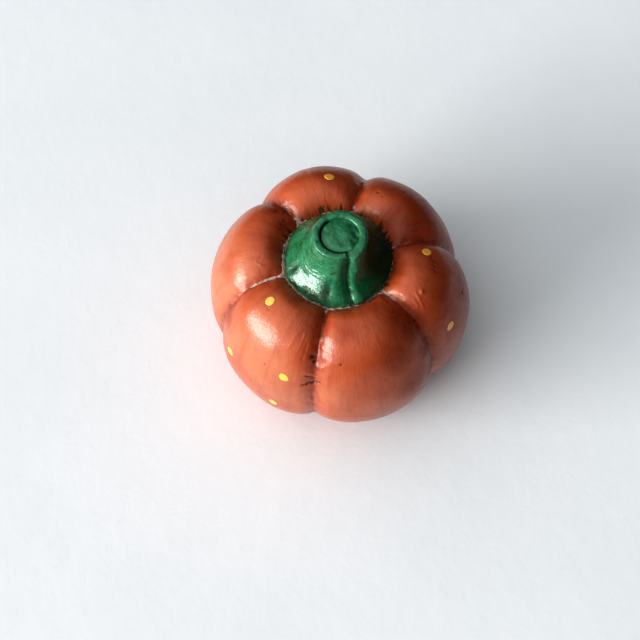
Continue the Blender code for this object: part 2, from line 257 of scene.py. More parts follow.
def lobed(lobe, across, radius, height):
    """Points of the turned form, carried to their lobes, in metres."""
    full = bulge(across)
    fade = np.where(height > 0, smooth_step(TOP_FADE, radius), smooth_step(FOOT_FADE, radius))
    pinch = (1 - full) * fade
    reach = 1 + (np.array(LOBE_REACH)[lobe] - 1) * full
    azimuth = lobe_azimuth(lobe, across)
    flat = radius * reach * (1 - CREASE_INSET * pinch)
    rise = np.maximum(height * (1 - CREASE_DROP * pinch), -JOINT_HEIGHT)
    return np.stack((flat * np.cos(azimuth), flat * np.sin(azimuth), rise + 0 * flat), -1) + CENTRE


def on_lobes(lobe, across, degrees):
    return lobed(lobe, across, *section(degrees))


def outward(lobe, across, degrees):
    """Unit normals of the smooth form, from short steps to each side."""
    turn, shift = 0.2, 0.01
    up = on_lobes(lobe, across, degrees + turn) - on_lobes(lobe, across, degrees - turn)
    along = on_lobes(lobe, across + shift, degrees) - on_lobes(lobe, across - shift, degrees)
    normals = np.cross(along, up)
    return normals / np.maximum(np.linalg.norm(normals, axis=-1, keepdims=True), 1e-12)


def noise_at(points, scale, seed=0.0):
    """Smooth noise from about -1 to 1, with features of about this scale."""
    flat = points.reshape(-1, 3) / scale + seed
    return np.array([noise.noise(point) for point in flat.tolist()]).reshape(points.shape[:-1])


def uneven(points, layers, total=0.0):
    """Adds layers of noise to a height, in mm."""
    for height, size, seed in layers:
        total = total + height * noise_at(points, size * MM, seed)
    return total


def to_segment(points, start, end):
    """Distance from each point to a straight segment."""
    along = end - start
    share = np.clip((points - start) @ along / max(along @ along, 1e-12), 0, 1)
    return np.linalg.norm(points - start - share[..., None] * along, axis=-1)


def to_mark(points, *place):
    """Distance from each point to a place on the smooth form."""
    return np.linalg.norm(points - on_lobes(*place), axis=-1)


def to_stroke(points, lobe, start, end):
    return to_segment(points, on_lobes(lobe, *start), on_lobes(lobe, *end))


def crease_distances(points):
    """Distance in metres, round the body, to each crease."""
    azimuth, radius = around(points)
    return [np.abs(round_distance(azimuth, crease, radius)) for crease in CREASES]


def relief(points, degrees):
    """How far the hand-worked surface stands off the smooth form, in metres."""
    total = uneven(points, BODY_UNEVEN)
    creased = np.exp(-np.min(crease_distances(points), axis=0) / CREASE_REACH)
    for height, size, seed, power in CREASE_UNEVEN:
        total += height * creased**power * noise_at(points, size * MM, seed)
    for *place, radius, depth in PITS:
        total -= depth * bell(to_mark(points, *place), radius * MM)
    ragged = uneven(points, STROKE_RAGGED, 1.0)
    for *line, width, height in STROKES:
        total += height * bell(to_stroke(points, *line), width * MM) * ragged
    standing = smooth_step(FOOT_CALM, points[..., 2])
    seated = 1 - (1 - SEAT_SHARE) * smooth_step(SEAT_CALM, degrees)
    return total * MM * standing * seated


def skin(lobe, across, degrees, lift=0.0):
    """Points on the hand-worked surface, or this far off it."""
    points = on_lobes(lobe, across, degrees)
    normals = outward(lobe, across, degrees)
    return points + normals * (relief(points, degrees) + lift)[..., None]


# ---- meshes


def grid_faces(rows, columns, closed):
    start = np.arange(rows if closed else rows - 1)[:, None] * columns
    here, right = start + np.arange(columns), start + (np.arange(columns) + 1) % columns
    above_right, above = (right + columns) % (rows * columns), (here + columns) % (rows * columns)
    return np.stack((here, right, above_right, above), -1).reshape(-1, 4)


def grid_piece(name, points, material, node, closed=True, fields=None, uv=None):
    """A piece from rows of points that run round an axis. A closed grid joins its last row to its
    first. An open one ends in a point at both ends."""
    rows, columns = points.shape[:2]
    vertices = points.reshape(-1, 3)
    faces = grid_faces(rows, columns, closed).tolist()
    if not closed:
        low, high = len(vertices), len(vertices) + 1
        ends = np.array((points[0].mean(0), points[-1].mean(0)))
        vertices = np.vstack((vertices, ends))
        top = (rows - 1) * columns
        for j in range(columns):
            k = (j + 1) % columns
            faces.append((low, k, j))
            faces.append((high, top + j, top + k))
    mesh = bpy.data.meshes.new(name)
    mesh.from_pydata(vertices.tolist(), [], faces)
    for field, values in (fields or {}).items():
        attribute = mesh.attributes.new(field, "FLOAT", "POINT")
        flat = np.zeros(len(vertices), np.float32)
        flat[: rows * columns] = values.reshape(-1)
        attribute.data.foreach_set("value", flat)
    if uv is not None:
        add_uv(mesh, uv, columns)
    mesh.shade_smooth()
    mesh.set_sharp_from_angle(angle=SHARP)
    mesh.materials.append(material)
    obj = bpy.data.objects.new(name, mesh)
    bpy.context.scene.collection.objects.link(obj)
    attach(obj, "root")
    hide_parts(node)


def add_uv(mesh, uv, columns):
    """Lays the surface out in metres, round the body and along its section."""
    layer = mesh.uv_layers.new(name="paint")
    index = np.zeros(len(mesh.loops), np.int32)
    mesh.loops.foreach_get("vertex_index", index)
    row, column = index // columns, index % columns
    per_face = column.reshape(-1, 4)
    wraps = (per_face.max(1) - per_face.min(1)) > columns // 2
    column = np.where(np.repeat(wraps, 4) & (column == 0), columns, column)
    round_body = np.append(uv[0], uv[0][0] + math.tau * BODY_RADIUS)
    values = np.stack((round_body[column], uv[1][row]), -1).astype(np.float32)
    layer.data.foreach_set("uv", values.reshape(-1))


def body_columns(per_lobe):
    """The lobe and the place across it of each column, closer together towards the creases."""
    share = np.linspace(-1, 1, per_lobe, endpoint=False)
    across = (1 - CREASE_CROWD) * share + CREASE_CROWD * np.sin(math.pi / 2 * share)
    return np.repeat(np.arange(LOBES), per_lobe), np.tile(across, LOBES)


def body_uv(lobe, across, profile):
    """Layout for the brush strokes: metres round the body, and along the section."""
    steps = np.hypot(*np.diff(np.array(profile), axis=0).T)
    return lobe_azimuth(lobe, across) * BODY_RADIUS, np.append(0, np.cumsum(steps))


def patches(points, places):
    """1 at the middle of each soft round patch, times its strength."""
    total = np.zeros(points.shape[:-1])
    for *place, size, strength in places:
        total = np.maximum(total, strength * bell(to_mark(points, *place), size * MM))
    return total


def paint_fields(points, degrees):
    """Where the paint is worn, stained or missing, for the material."""
    radius = around(points)[1]
    creases = crease_distances(points)
    crease, stain, pale = (np.zeros(points.shape[:-1]) for _ in range(3))
    # Dark wash and painted shade in the creases.
    for gap, strength in zip(creases, CREASE_WASH_AND_SHADE):
        crease = np.maximum(crease, strength * np.exp(-gap / CREASE_STAIN_AND_SHADE))
    for *place, size, depth in PITS:
        strength = 1 if depth > 0 else FAINT_STAIN
        stain = np.maximum(stain, strength * bell(to_mark(points, *place), PIT_STAIN * size * MM))
    for *line, width, height in STROKES:
        strength = DEEP_STAIN if height < DEEP_STROKE else FAINT_STAIN
        stain = np.maximum(stain, strength * bell(to_stroke(points, *line), STROKE_STAIN * width * MM))
    for place, start, width in SLIP_TRACES:
        along = smooth_step((start + SLIP_START[0], start + SLIP_START[1]), degrees)
        pale = np.maximum(pale, along * bell(creases[place], width * MM))
    # Dark dabs round the stem, and painted shade where the lobes dip under the stem's skirt.
    seat = 1 - smooth_step(SEAT_DAB_AND_SHADE_RADII, radius)
    seat *= smooth_step(SEAT_DAB_AND_SHADE_TURNS, degrees)
    foot = 1 - smooth_step(BARE_FOOT, points[..., 2])
    aged_and_shaded, rubbed_and_sheen = patches(points, AGED_AND_SHADED), patches(points, RUBBED_AND_SHEEN)
    return dict(
        crease=crease, stain=stain, aged_and_shaded=aged_and_shaded, rubbed_and_sheen=rubbed_and_sheen, pale=pale, seat=seat, foot=foot
    )


def lobed_rows(lobe, across, outline):
    return np.array([lobed(lobe, across, radius, height) for radius, height in outline])


def body_shell(name, rows, profile, material, node):
    """A shell from its outer rows, in degrees, and the rest of its section, in metres."""
    lobe, across = body_columns(LOBE_COLUMNS)
    outer = skin(lobe, across, rows[:, None] + 0 * across)
    before, after = profile
    points = np.array([*lobed_rows(lobe, across, before), *outer, *lobed_rows(lobe, across, after)])
    outline = [*before, *zip(*section(rows)), *after]
    turns = np.concatenate((np.full(len(before), -90.0), rows, np.full(len(after), 0.0)))
    fields = paint_fields(points, turns[:, None] + 0 * across)
    inside = np.zeros(points.shape[:-1])
    inside[len(before) + len(rows) :] = 1
    fields["inside"] = inside
    uv = body_uv(lobe, across, outline)
    grid_piece(name, points, material, node, fields=fields, uv=uv)


RABBET = 0.7 * MM  # depth of painted clay that hides the slip in the joint
SLIP_HALF = 0.42 * MM  # half the height of the groove that the joint's slip fills
INNER_RADIUS = BODY_RADIUS - WALL
INNER_STEPS = 14
UNDER_DIP_STEPS = 6
SLOPE_SHARES = (0.25, 0.5, 0.75, 0.96)  # rows between the lobes' ends and the opening


def arc(centre, width, rise, first, last, steps):
    turns = np.radians(np.linspace(first, last, steps + 1))
    return list(zip(centre[0] + width * np.cos(turns), centre[1] + rise * np.sin(turns)))


def upper_body(material):
    rows = np.concatenate((np.linspace(0, 90, TOP_ROWS), np.linspace(90, SEAT_EDGE, DIP_ROWS)[1:]))
    edge_radius, edge_rise = section(np.array(SEAT_EDGE))
    slope = [
        (edge_radius + (OPENING_RADIUS - edge_radius) * s, edge_rise + (FLOOR_RISE - edge_rise) * s)
        for s in SLOPE_SHARES
    ]
    opening = [(OPENING_RADIUS, FLOOR_RISE - 0.3 * MM), (OPENING_RADIUS, FLOOR_RISE - WALL)]
    inner_rise = CROWN_RISE - WALL
    under = arc(
        (CROWN_RADIUS, inner_rise - UNDER_DIP_DEPTH), UNDER_DIP_WIDTH, UNDER_DIP_DEPTH,
        90 + UNDER_DIP_TURN, 90, UNDER_DIP_STEPS,
    )
    reach = BODY_RADIUS - CROWN_RADIUS - WALL
    inside = arc((CROWN_RADIUS, 0), reach, inner_rise, 90, 1, INNER_STEPS)[1:-1]
    rim = [(INNER_RADIUS, SLIP_HALF), (BODY_RADIUS - RABBET, SLIP_HALF), (BODY_RADIUS - RABBET, 0)]
    profile = ([], slope + opening + under + inside + rim)
    body_shell("upper_half_clay", rows, profile, material, "upper_half_shell")


def lower_body(material):
    rows = np.linspace(-90, 0, BELLY_ROWS)
    foot = [(radius, -BELLY_DROP) for radius in (VENT_RADIUS + 0.4 * MM, *FOOT_RINGS)]
    depth = JOINT_HEIGHT - WALL
    rim = [(BODY_RADIUS - RABBET, 0), (BODY_RADIUS - RABBET, -SLIP_HALF), (INNER_RADIUS, -SLIP_HALF)]
    inside = arc((CROWN_RADIUS, 0), BODY_RADIUS - CROWN_RADIUS - WALL, depth, -2, -90, INNER_STEPS)
    floor = [(FOOT_RINGS[1], -depth), (VENT_RADIUS, -depth), (VENT_RADIUS, -BELLY_DROP + 1.3 * MM)]
    profile = (foot, rim + inside + floor)
    body_shell("lower_half_clay", rows, profile, material, "lower_half_shell")


def joint_slip(material):
    lobe, across = body_columns(JOINT_COLUMNS)
    inner, outer = INNER_RADIUS + 0.3 * MM, BODY_RADIUS - RABBET - 0.05 * MM
    half = SLIP_HALF - 0.03 * MM
    profile = [(inner, -half), (outer, -half), (outer, half), (inner, half), (inner - 0.3 * MM, 0)]
    points = lobed_rows(lobe, across, profile)
    grid_piece("joint_slip", points, material, "joint_slip_ring")


# ---- stem

STEM_PROFILE = (  # share of the side's height, and radius in mm
    (0.0, 15.75), (0.05, 15.62), (0.12, 15.05), (0.22, 13.85), (0.34, 12.3), (0.46, 11.05), (0.6, 10.0),
    (0.75, 9.25), (0.87, 8.72), (0.95, 8.3), (1.0, 7.95),
)
SEAM_PLACE = ((0.0, -74.0), (0.25, -75.5), (0.5, -76.5), (0.75, -74.0), (1.0, -70.5))
BORE_RADIUS = 5.85 * MM
DISC_RADIUS = 5.6 * MM
DISC_EDGE = STEM_HEIGHT - 0.8 * MM
DISC_DOME = 0.75 * MM
RIM_RISE = 1.15 * MM
NECK = STEM_HEIGHT - RIM_RISE
JOIN_AZIMUTH = -50  # where the strip's end runs level with the disc
JOIN_WIDTH = 15
GROOVE_AZIMUTH = -151  # middle of the groove that parts the rim from the disc
GROOVE_ENDS = (98, 76)  # degrees from it where the groove is gone, and where it is whole
RIM_POWER = 0.68  # squares the rim's section: 1 is round
SEAT_RADIUS = 15.45 * MM  # where the skirt's edge meets the lobes
HALVINGS = 24  # of the search for the seat's height
SKIRT_REACH = 0.035  # share that the skirt's edge reaches out further by the creases
SKIRT_FADE = (0.0, 0.12)  # share of the side's height over which the skirt's edge ends
# Across the seam where the strip's end laps its start: height or depth in mm, then the place beyond the
# seam and half the width in mm.
SEAM_GROOVE = ((0.45, 0, 0.5), (0.55, -1.1, 1.6))
SEAM_RIDGE = ((0.6, 1.9, 1.5), (0.45, 4.2, 3.6))
SEAM_HOLLOW = ((0.3, 8.5, 4),)
# Painted shade in and beside the seam's groove: strength, place and half width in the same way.
SEAM_SHADE = ((0.8, 0, 0.5), (0.65, -1.1, 1.5))
SHADED_SIDE = (0, 55)  # azimuth and half width in degrees of the painted shade on the side away from the window
RIBS = (-138, 34)  # azimuth and half width in degrees of the tool's ribs
RIB_PITCH = 1.05 * MM
RIB_HEIGHT = 0.028  # in mm


def seat_place(azimuth, radius):
    """Height above the joint and degrees of the lobes round the stem, at azimuths and radii."""
    lobe, across = lobe_at(azimuth)
    low, high = np.full(azimuth.shape, 90.0), np.full(azimuth.shape, SEAT_EDGE)
    for _ in range(HALVINGS):
        middle = (low + high) / 2
        place = on_lobes(lobe, across, middle) - CENTRE
        outside = np.hypot(place[..., 0], place[..., 1]) > radius
        low, high = np.where(outside, middle, low), np.where(outside, high, middle)
    return place[..., 2], low


def smooth_profile(knots, at):
    """A smooth curve through knots, by cubic Hermite pieces."""
    x, y = np.array(knots).T
    slope = np.gradient(y, x)
    i = np.clip(np.searchsorted(x, at, side="right") - 1, 0, len(x) - 2)
    width = x[i + 1] - x[i]
    t = (at - x[i]) / width
    return (
        y[i] * (1 + 2 * t) * (1 - t) ** 2 + slope[i] * width * t * (1 - t) ** 2
        + y[i + 1] * t * t * (3 - 2 * t) + slope[i + 1] * width * t * t * (t - 1)
    )


def join_share(azimuth):
    """1 where the strip's end runs level with the disc, 0 elsewhere."""
    return bell(turned_from(azimuth, JOIN_AZIMUTH), JOIN_WIDTH)


def open_groove(azimuth):
    """1 where a dark groove parts the rim from the disc, 0 where the rim rises from the disc."""
    return smooth_step(GROOVE_ENDS, np.abs(turned_from(azimuth, GROOVE_AZIMUTH)))


def stem_place(azimuth, radius, height):
    """Points of the stem from heights above its base plane, leaning with its height."""
    rise = np.maximum(height, 0)
    x = radius * np.cos(azimuth) + STEM_LEAN[0] * rise + CENTRE[0]
    y = radius * np.sin(azimuth) + STEM_LEAN[1] * rise + CENTRE[1]
    return np.stack((x, y, height + STEM_BASE + CENTRE[2] + 0 * x), -1)


def across_seam(gap, bumps):
    return sum(height * bell(gap - place * MM, width * MM) for height, place, width in bumps)


def stem_side(azimuth, share):
    """The flared side: its radius and height, and the distance round it from the seam."""
    corner = 1 - np.abs(np.cos(math.pi / 2 * lobe_at(azimuth)[1])) ** 0.8
    azimuths = azimuth[None, :] + 0 * share
    radius = smooth_profile(STEM_PROFILE, share) * MM + 0 * azimuths
    edge = radius[0] * (1 + SKIRT_REACH * corner)
    radius = radius * (1 + SKIRT_REACH * corner * (1 - share) ** 1.5)
    base = seat_place(azimuth, edge)[0] - STEM_BASE + 0.05 * MM
    height = base + (NECK - base) * share
    gap = round_distance(azimuths, smooth_profile(SEAM_PLACE, share), radius)
    groove = across_seam(gap, SEAM_GROOVE)
    ridge = across_seam(gap, SEAM_RIDGE) * (0.7 + 0.3 * share) - across_seam(gap, SEAM_HOLLOW)
    slump = 0.35 * bell(gap - 2 * MM, 2 * MM) * bell(share - 0.12, 0.1)
    place = stem_place(azimuths, radius, height)
    wobble = uneven(place, STEM_UNEVEN)
    lumps = 0.4 * bell(gap - 1.2 * MM, 1.8 * MM) * noise_at(place, 1.9 * MM, 3.7)
    ragged = 0.4 * (1 - smooth_step((0, 0.14), share)) * noise_at(place, 1.5 * MM, 6.2)
    stands_off = (ridge + slump - groove) * smooth_step(SKIRT_FADE, share) + wobble + lumps + ragged
    stands_off += tool_ribs(azimuths, share, height, place)
    return radius + stands_off * MM, height, gap


def tool_ribs(azimuths, share, height, place):
    """Faint ribs that a tool left round the left of the side."""
    ribbed = bell(turned_from(azimuths, RIBS[0]), RIBS[1])
    ribbed *= smooth_step((0.28, 0.5), share) * (1 - smooth_step((0.84, 0.93), share))
    wander = 1.2 * noise_at(place, 5 * MM, 7.7)
    phase = (height / RIB_PITCH + 0.4 * np.sin(azimuths * 1.5) + wander) * math.tau
    return RIB_HEIGHT * ribbed * np.sin(phase) * (1 + noise_at(place, 2.5 * MM, 7.7))


def stem_rim(azimuth, neck_radius):
    """The rounded rim, from the neck over to the bore."""
    join, groove = join_share(azimuth), open_groove(azimuth)
    bore = BORE_RADIUS - (0.42 * (1 - groove) + 0.3 * join) * MM
    turns = np.linspace(0, math.pi, RIM_ROWS + 1)[1:, None]
    middle, half = (neck_radius + bore) / 2, (neck_radius - bore) / 2
    across = np.cos(turns)
    squared = np.sign(across) * np.abs(across) ** RIM_POWER
    # Where no groove parts them, the inner side of the rim slopes down to the disc.
    inner = np.clip(-squared, 0, 1) * (1 - groove)
    radius = middle + half * (squared + 0.35 * inner * (1 - np.clip(-squared, 0, 1)))
    from_seam = round_distance(azimuth, SEAM_PLACE[-1][1], neck_radius)
    seam = bell(from_seam, np.where(from_seam > 0, 1.9 * MM, 0.5 * MM))
    crest = RIM_RISE * (1 - 0.3 * join) * (1 - 0.7 * seam)
    height = NECK + crest * np.abs(np.sin(turns)) ** 0.5
    rim = stem_place(azimuth, radius, height)
    rim[..., 2] += uneven(rim, RIM_UNEVEN) * MM
    return rim, bore


def stem_sole(azimuth):
    """The hidden underside, from the bore out to the skirt's edge."""
    rows = []
    seat = seat_place(azimuth, SEAT_RADIUS)[0] - STEM_BASE
    inner = FLOOR_RISE - STEM_BASE + 0.35 * MM
    for radius in (OPENING_RADIUS - 0.4 * MM, 9 * MM, 12.5 * MM, 15 * MM):
        blend = smooth_step((OPENING_RADIUS, 15.4 * MM), radius)
        height = inner + (seat + 0.1 * MM - inner) * blend
        rows.append(stem_place(azimuth, radius, height))
    return np.array(rows)


def stem_roll(material):
    """The rolled strip: flared side, rounded rim, and the seam where its end laps its start."""
    azimuth = np.linspace(-math.pi, math.pi, STEM_COLUMNS, endpoint=False)
    share = np.linspace(0, 1, STEM_ROWS)[:, None]
    radius, height, gap = stem_side(azimuth, share)
    side = stem_place(azimuth, radius, height)
    rim, bore = stem_rim(azimuth, radius[-1])
    down = np.array((0.9, 3, 9))[:, None] * MM
    wall = stem_place(azimuth, bore, NECK - down)
    sole = stem_sole(azimuth)
    points = np.concatenate((sole, side, rim, wall))
    fields = stem_fields(points, azimuth, len(sole), share, gap)
    grid_piece("stem_roll", points, material, "stem_wrap", fields=fields)


# Where the stem's green is worn to brown: azimuth and half width in degrees, then the share of the
# height and half of its span, then strength.
WORN = (
    (-122, 13, 0.16, 0.07, 1.3), (-106, 9, 0.22, 0.09, 1.1),
    (-104, 9, 0.70, 0.10, 0.8), (-80, 5, 0.62, 0.22, 0.7),
    (-160, 34, 0.05, 0.07, 0.9), (-92, 10, 0.04, 0.06, 0.9),
    (170, 20, 0.35, 0.2, 0.5),
)

# Where it is dark and dull, in the same form.
DULL = (
    (-109, 9, 0.3, 0.22, 0.75), (-158, 10, 0.24, 0.16, 0.7),
    (-150, 20, 0.9, 0.06, 0.3),
)


def stem_fields(points, azimuth, sole_rows, share, gap):
    """Where the green paint is worn through, where it is dark, where shade is painted in the seam's
    groove, down the bore and on the side away from the window, and where it is low on the skirt.
    """
    worn, dark_paint_and_shade, low = (np.zeros(points.shape[:-1]) for _ in range(3))
    side = slice(sole_rows, sole_rows + len(share))
    for strength, place, width in SEAM_SHADE:
        dark_paint_and_shade[side] = np.maximum(dark_paint_and_shade[side], strength * bell(gap - place * MM, width * MM))
    # Painted shade down the lower part of the ridge.
    dark_paint_and_shade[side] = np.maximum(dark_paint_and_shade[side], 0.4 * bell(gap - 2.5 * MM, 3 * MM) * (1 - share))
    dark_paint_and_shade[side] = np.maximum(dark_paint_and_shade[side], bell(turned_from(azimuth, SHADED_SIDE[0]), SHADED_SIDE[1]))
    dark_paint_and_shade[-2:] = 1  # painted shade down the bore
    low[side] = 1 - smooth_step(SKIRT_FADE, share)
    low[:sole_rows] = 1
    for table, field in ((WORN, worn), (DULL, dark_paint_and_shade)):
        for place, width, middle, span, strength in table:
            patch = bell(turned_from(azimuth, place), width) * bell(share - middle, span)
            field[side] = np.maximum(field[side], strength * patch)
    return {"worn": worn, "dark_paint_and_shade": dark_paint_and_shade, "low": low}


def stem_disc(material):
    """The plug of clay that the strip is wrapped round: its tenon, and its uneven domed top."""
    azimuth = np.linspace(-math.pi, math.pi, DISC_COLUMNS, endpoint=False)
    join, groove = join_share(azimuth), open_groove(azimuth)
    foot = FLOOR_RISE - WALL - STEM_BASE + 0.4 * MM
    tenon = 5 * MM
    below = [(1 * MM, foot), (2.5 * MM, foot), (4 * MM, foot), (4.7 * MM, foot)]
    below += [(tenon, foot + 0.4 * MM), (tenon, -1 * MM), (tenon, DISC_EDGE - 4 * MM)]
    below += [(tenon + 0.05 * MM, DISC_EDGE - 1.5 * MM)]
    rows = [stem_place(azimuth, radius, height) for radius, height in below]
    for share in np.concatenate((1 - np.linspace(0, 0.3, 18) ** 1.6, np.linspace(0.83, 0.03, 26))):
        edge_drop = 0.05 * groove * smooth_step((0.86, 1.0), np.array(share)) * MM
        raised = 0.4 * join * smooth_step((0.5, 1.0), np.array(share)) * MM
        height = DISC_EDGE + DISC_DOME * (1 - share**2) + raised - edge_drop
        radius = (DISC_RADIUS + 0.25 * MM * join - 0.1 * MM * groove) * share
        rows.append(stem_place(azimuth, radius, height))
    points = np.array(rows)
    top = len(below)
    patch = points[top:]
    centre = stem_place(0.0, 0.0, DISC_EDGE)
    lift = uneven(patch, DISC_UNEVEN)
    dent = np.hypot(patch[..., 0] - centre[0] - 4.4 * MM, patch[..., 1] - centre[1])
    patch[..., 2] += (lift - 0.55 * bell(dent, 0.8 * MM)) * MM
    dark_paint_and_shade = np.ones(points.shape[:-1])
    radial = np.hypot(patch[..., 0] - centre[0], patch[..., 1] - centre[1])
    # Painted shade in the groove round the disc's edge.
    dark_paint_and_shade[top:] = smooth_step((5.0 * MM, 5.5 * MM), radial) * (0.2 + 0.5 * groove) * (1 - join)
    none = np.zeros(points.shape[:-1])
    fields = {"worn": none, "dark_paint_and_shade": dark_paint_and_shade, "low": none}
    grid_piece(
        "stem_disc", points, material, "stem_plug", closed=False, fields=fields
    )


# Where the slip reaches beyond the skirt: azimuth in degrees, reach and half width in mm.
TONGUES = (
    (134, 3.2, 1.0), (75, 2.0, 1.0), (199, 3.6, 0.7), (320, 3.6, 1.1), (258.5, 1.4, 1.0),
    (265, 1.6, 1.2), (13.5, 0.8, 0.8), (290, 0.9, 1.6), (305, 0.8, 1.4),
)
SLIP_INNER = 15.5 * MM  # radius that the line starts from, under the skirt's edge
SLIP_ROWS = 17
DEGREE_OF_DIP = 0.176 * MM  # about the length of a degree of the section, in the dip


def slip_line(material):
    """Irregular line of slip round the stem, drawn out along the creases."""
    lobe, across = body_columns(SLIP_COLUMNS)
    azimuth = lobe_azimuth(lobe, across)
    start = seat_place(azimuth, SLIP_INNER)[1]
    edge = on_lobes(lobe, across, start)
    left = (0.5 + 0.5 * np.cos(azimuth - math.radians(-150))) ** 2
    width = uneven(edge, SLIP_WIDTH_UNEVEN, 0.75 + 1.6 * left)
    for place, length, half in TONGUES:
        width = width + length * bell(round_distance(azimuth, place, 16 * MM), half * MM)
    width = np.maximum(width, 0.4) * MM / DEGREE_OF_DIP
    thick = np.maximum(uneven(edge, SLIP_THICKNESS_UNEVEN, 0.3 + 0.18 * left), 0.15)
    shares = np.linspace(0, 1, SLIP_ROWS)
    rows = [skin(lobe, across, start - share * width, -0.12 * MM) for share in shares]
    for share in reversed(shares):
        rounded = max(0.0, 1 - share**2.5) ** 0.5
        places = skin(lobe, across, start - share * width, (thick * rounded - 0.08) * MM)
        places[..., 2] += 0.12 * MM * rounded * noise_at(places, 0.8 * MM, 3.6)
        rows.append(places)
    grid_piece("stem_slip_line", np.array(rows), material, "stem_slip_bead")


# ---- dots

DOT_SIDES = 48
DOT_UNDERSIDE = (0.3, 0.6, 0.85, 0.97)  # shares of the radius
DOT_TOP = (1.0, 0.99, 0.96, 0.9, 0.8, 0.65, 0.45, 0.2)
DOT_SINK, DOT_EDGE_LIFT, DOT_THICKNESS, DOT_HOLLOW = -0.08, 0.02, 0.14, 0.03  # in mm


def paint_dot(name, lobe, across, degrees, material, node):
    """A touch of thick paint that follows the lobe under it."""
    seed = sum(map(ord, name))
    turns = np.linspace(0, math.tau, DOT_SIDES, endpoint=False)
    # A frame on the lobe's surface, from how far a place moves for each unit across and each degree.
    step = 0.02
    ahead = on_lobes(lobe, across + step, degrees) - on_lobes(lobe, across - step, degrees)
    ahead = ahead / (2 * step)
    up = (on_lobes(lobe, across, degrees + 1) - on_lobes(lobe, across, degrees - 1)) / 2
    length = np.linalg.norm(ahead)
    skew = up @ ahead / length
    height = math.sqrt(up @ up - skew**2)
    wander = np.stack((np.cos(turns), np.sin(turns), 0 * turns + seed * 0.37), -1)
    outline = DOT_SPREAD * (1 + 0.09 * noise_at(wander, 0.8) + 0.04 * noise_at(wander, 0.3))
    outline = outline * (1 + 0.06 * np.cos(2 * (turns - seed)))
    rings = [(share, DOT_SINK) for share in DOT_UNDERSIDE]
    for share in DOT_TOP:
        lift = DOT_EDGE_LIFT + DOT_THICKNESS * (1 - share**5) ** 0.5 - DOT_HOLLOW * (1 - share**2)
        rings.append((share, lift))
    rows = []
    for share, lift in rings:
        rise = outline * share * np.sin(turns) / height
        run = (outline * share * np.cos(turns) - rise * skew) / length
        rows.append(skin(lobe, across + run, degrees + rise, lift * MM))
    grid_piece(name, np.array(rows), material, node, closed=False)


# ---- materials

MIX_FIRST, MIX_SECOND, MIX_RESULT = 6, 7, 2  # a Mix node's sockets for colours


class Nodes:
    """Adds nodes to a tree."""

    def __init__(self, tree):
        self.tree = tree

    def put(self, socket, value):
        if isinstance(value, bpy.types.NodeSocket):
            self.tree.links.new(value, socket)
        elif isinstance(value, tuple) and len(value) == 3 and socket.type == "RGBA":
            socket.default_value = (*value, 1)
        else:
            socket.default_value = value

    def node(self, kind, sockets, **settings):
        """A node with these settings, and these values or links on its sockets."""
        made = self.tree.nodes.new(kind)
        for key, value in settings.items():
            setattr(made, key, value)
        for socket, value in sockets.items():
            self.put(made.inputs[socket], value)
        return made

    def between(self, value, low, high, to_low=0.0, to_high=1.0):
        """Carries a value from one range to another, smoothly, and holds it at both ends."""
        sockets = {"Value": value, "From Min": low, "From Max": high, "To Min": to_low, "To Max": to_high}
        return self.node("ShaderNodeMapRange", sockets, interpolation_type="SMOOTHSTEP").outputs[0]


class Paint(Nodes):
    """Builds one material."""

    def __init__(self, name, **settings):
        self.material = bpy.data.materials.new(name)
        self.material.use_nodes = True
        super().__init__(self.material.node_tree)
        self.shader = self.tree.nodes["Principled BSDF"]
        for socket, value in settings.items():
            self.shader.inputs[socket.replace("_", " ")].default_value = value
        self.place = self.node("ShaderNodeTexCoord", {}).outputs["Object"]

    def field(self, name):
        return self.node("ShaderNodeAttribute", {}, attribute_name=name).outputs["Fac"]

    def noise(self, size, detail, rough, seed):
        """Noise with features of this size, in metres."""
        return self.noise_on(self.place, 1 / size, detail, rough, seed)

    def brushed_noise(self, width, length, detail, rough, seed):
        """Noise drawn out as brush strokes are, with this size across and along the brush."""
        layout = self.node("ShaderNodeUVMap", {}, uv_map="paint").outputs["UV"]
        sockets = {0: layout, 1: (1 / width, 1 / length, 1)}
        scaled = self.node("ShaderNodeVectorMath", sockets, operation="MULTIPLY").outputs[0]
        return self.noise_on(scaled, 1, detail, rough, seed)

    def noise_on(self, coordinates, scale, detail, rough, seed):
        sockets = {"Vector": coordinates, "Scale": scale, "Detail": detail, "Roughness": rough, "W": seed}
        return self.node("ShaderNodeTexNoise", sockets, noise_dimensions="4D").outputs["Fac"]

    def math(self, operation, first, second):
        return self.node("ShaderNodeMath", {0: first, 1: second}, operation=operation).outputs[0]

    def times(self, first, second):
        return self.math("MULTIPLY", first, second)

    def mix(self, share, first, second):
        sockets = {"Factor": share, MIX_FIRST: first, MIX_SECOND: second}
        return self.node("ShaderNodeMix", sockets, data_type="RGBA").outputs[MIX_RESULT]

    def cover(self, colour, tint, where, low, high, strength=1.0):
        """Covers a colour with another, up to this strength where a value passes from low to high."""
        return self.mix(self.between(where, low, high, 0, strength), colour, tint)

    def bump(self, height, distance, under=None):
        sockets = {"Height": height, "Distance": distance, "Strength": 1.0}
        if under is not None:
            sockets["Normal"] = under
        return self.node("ShaderNodeBump", sockets).outputs["Normal"]

    def finish(self, colour, roughness, normal):
        links = {"Base Color": colour, "Roughness": roughness, "Normal": normal, "Coat Normal": normal}
        for socket, value in links.items():
            self.put(self.shader.inputs[socket], value)
        return self.material


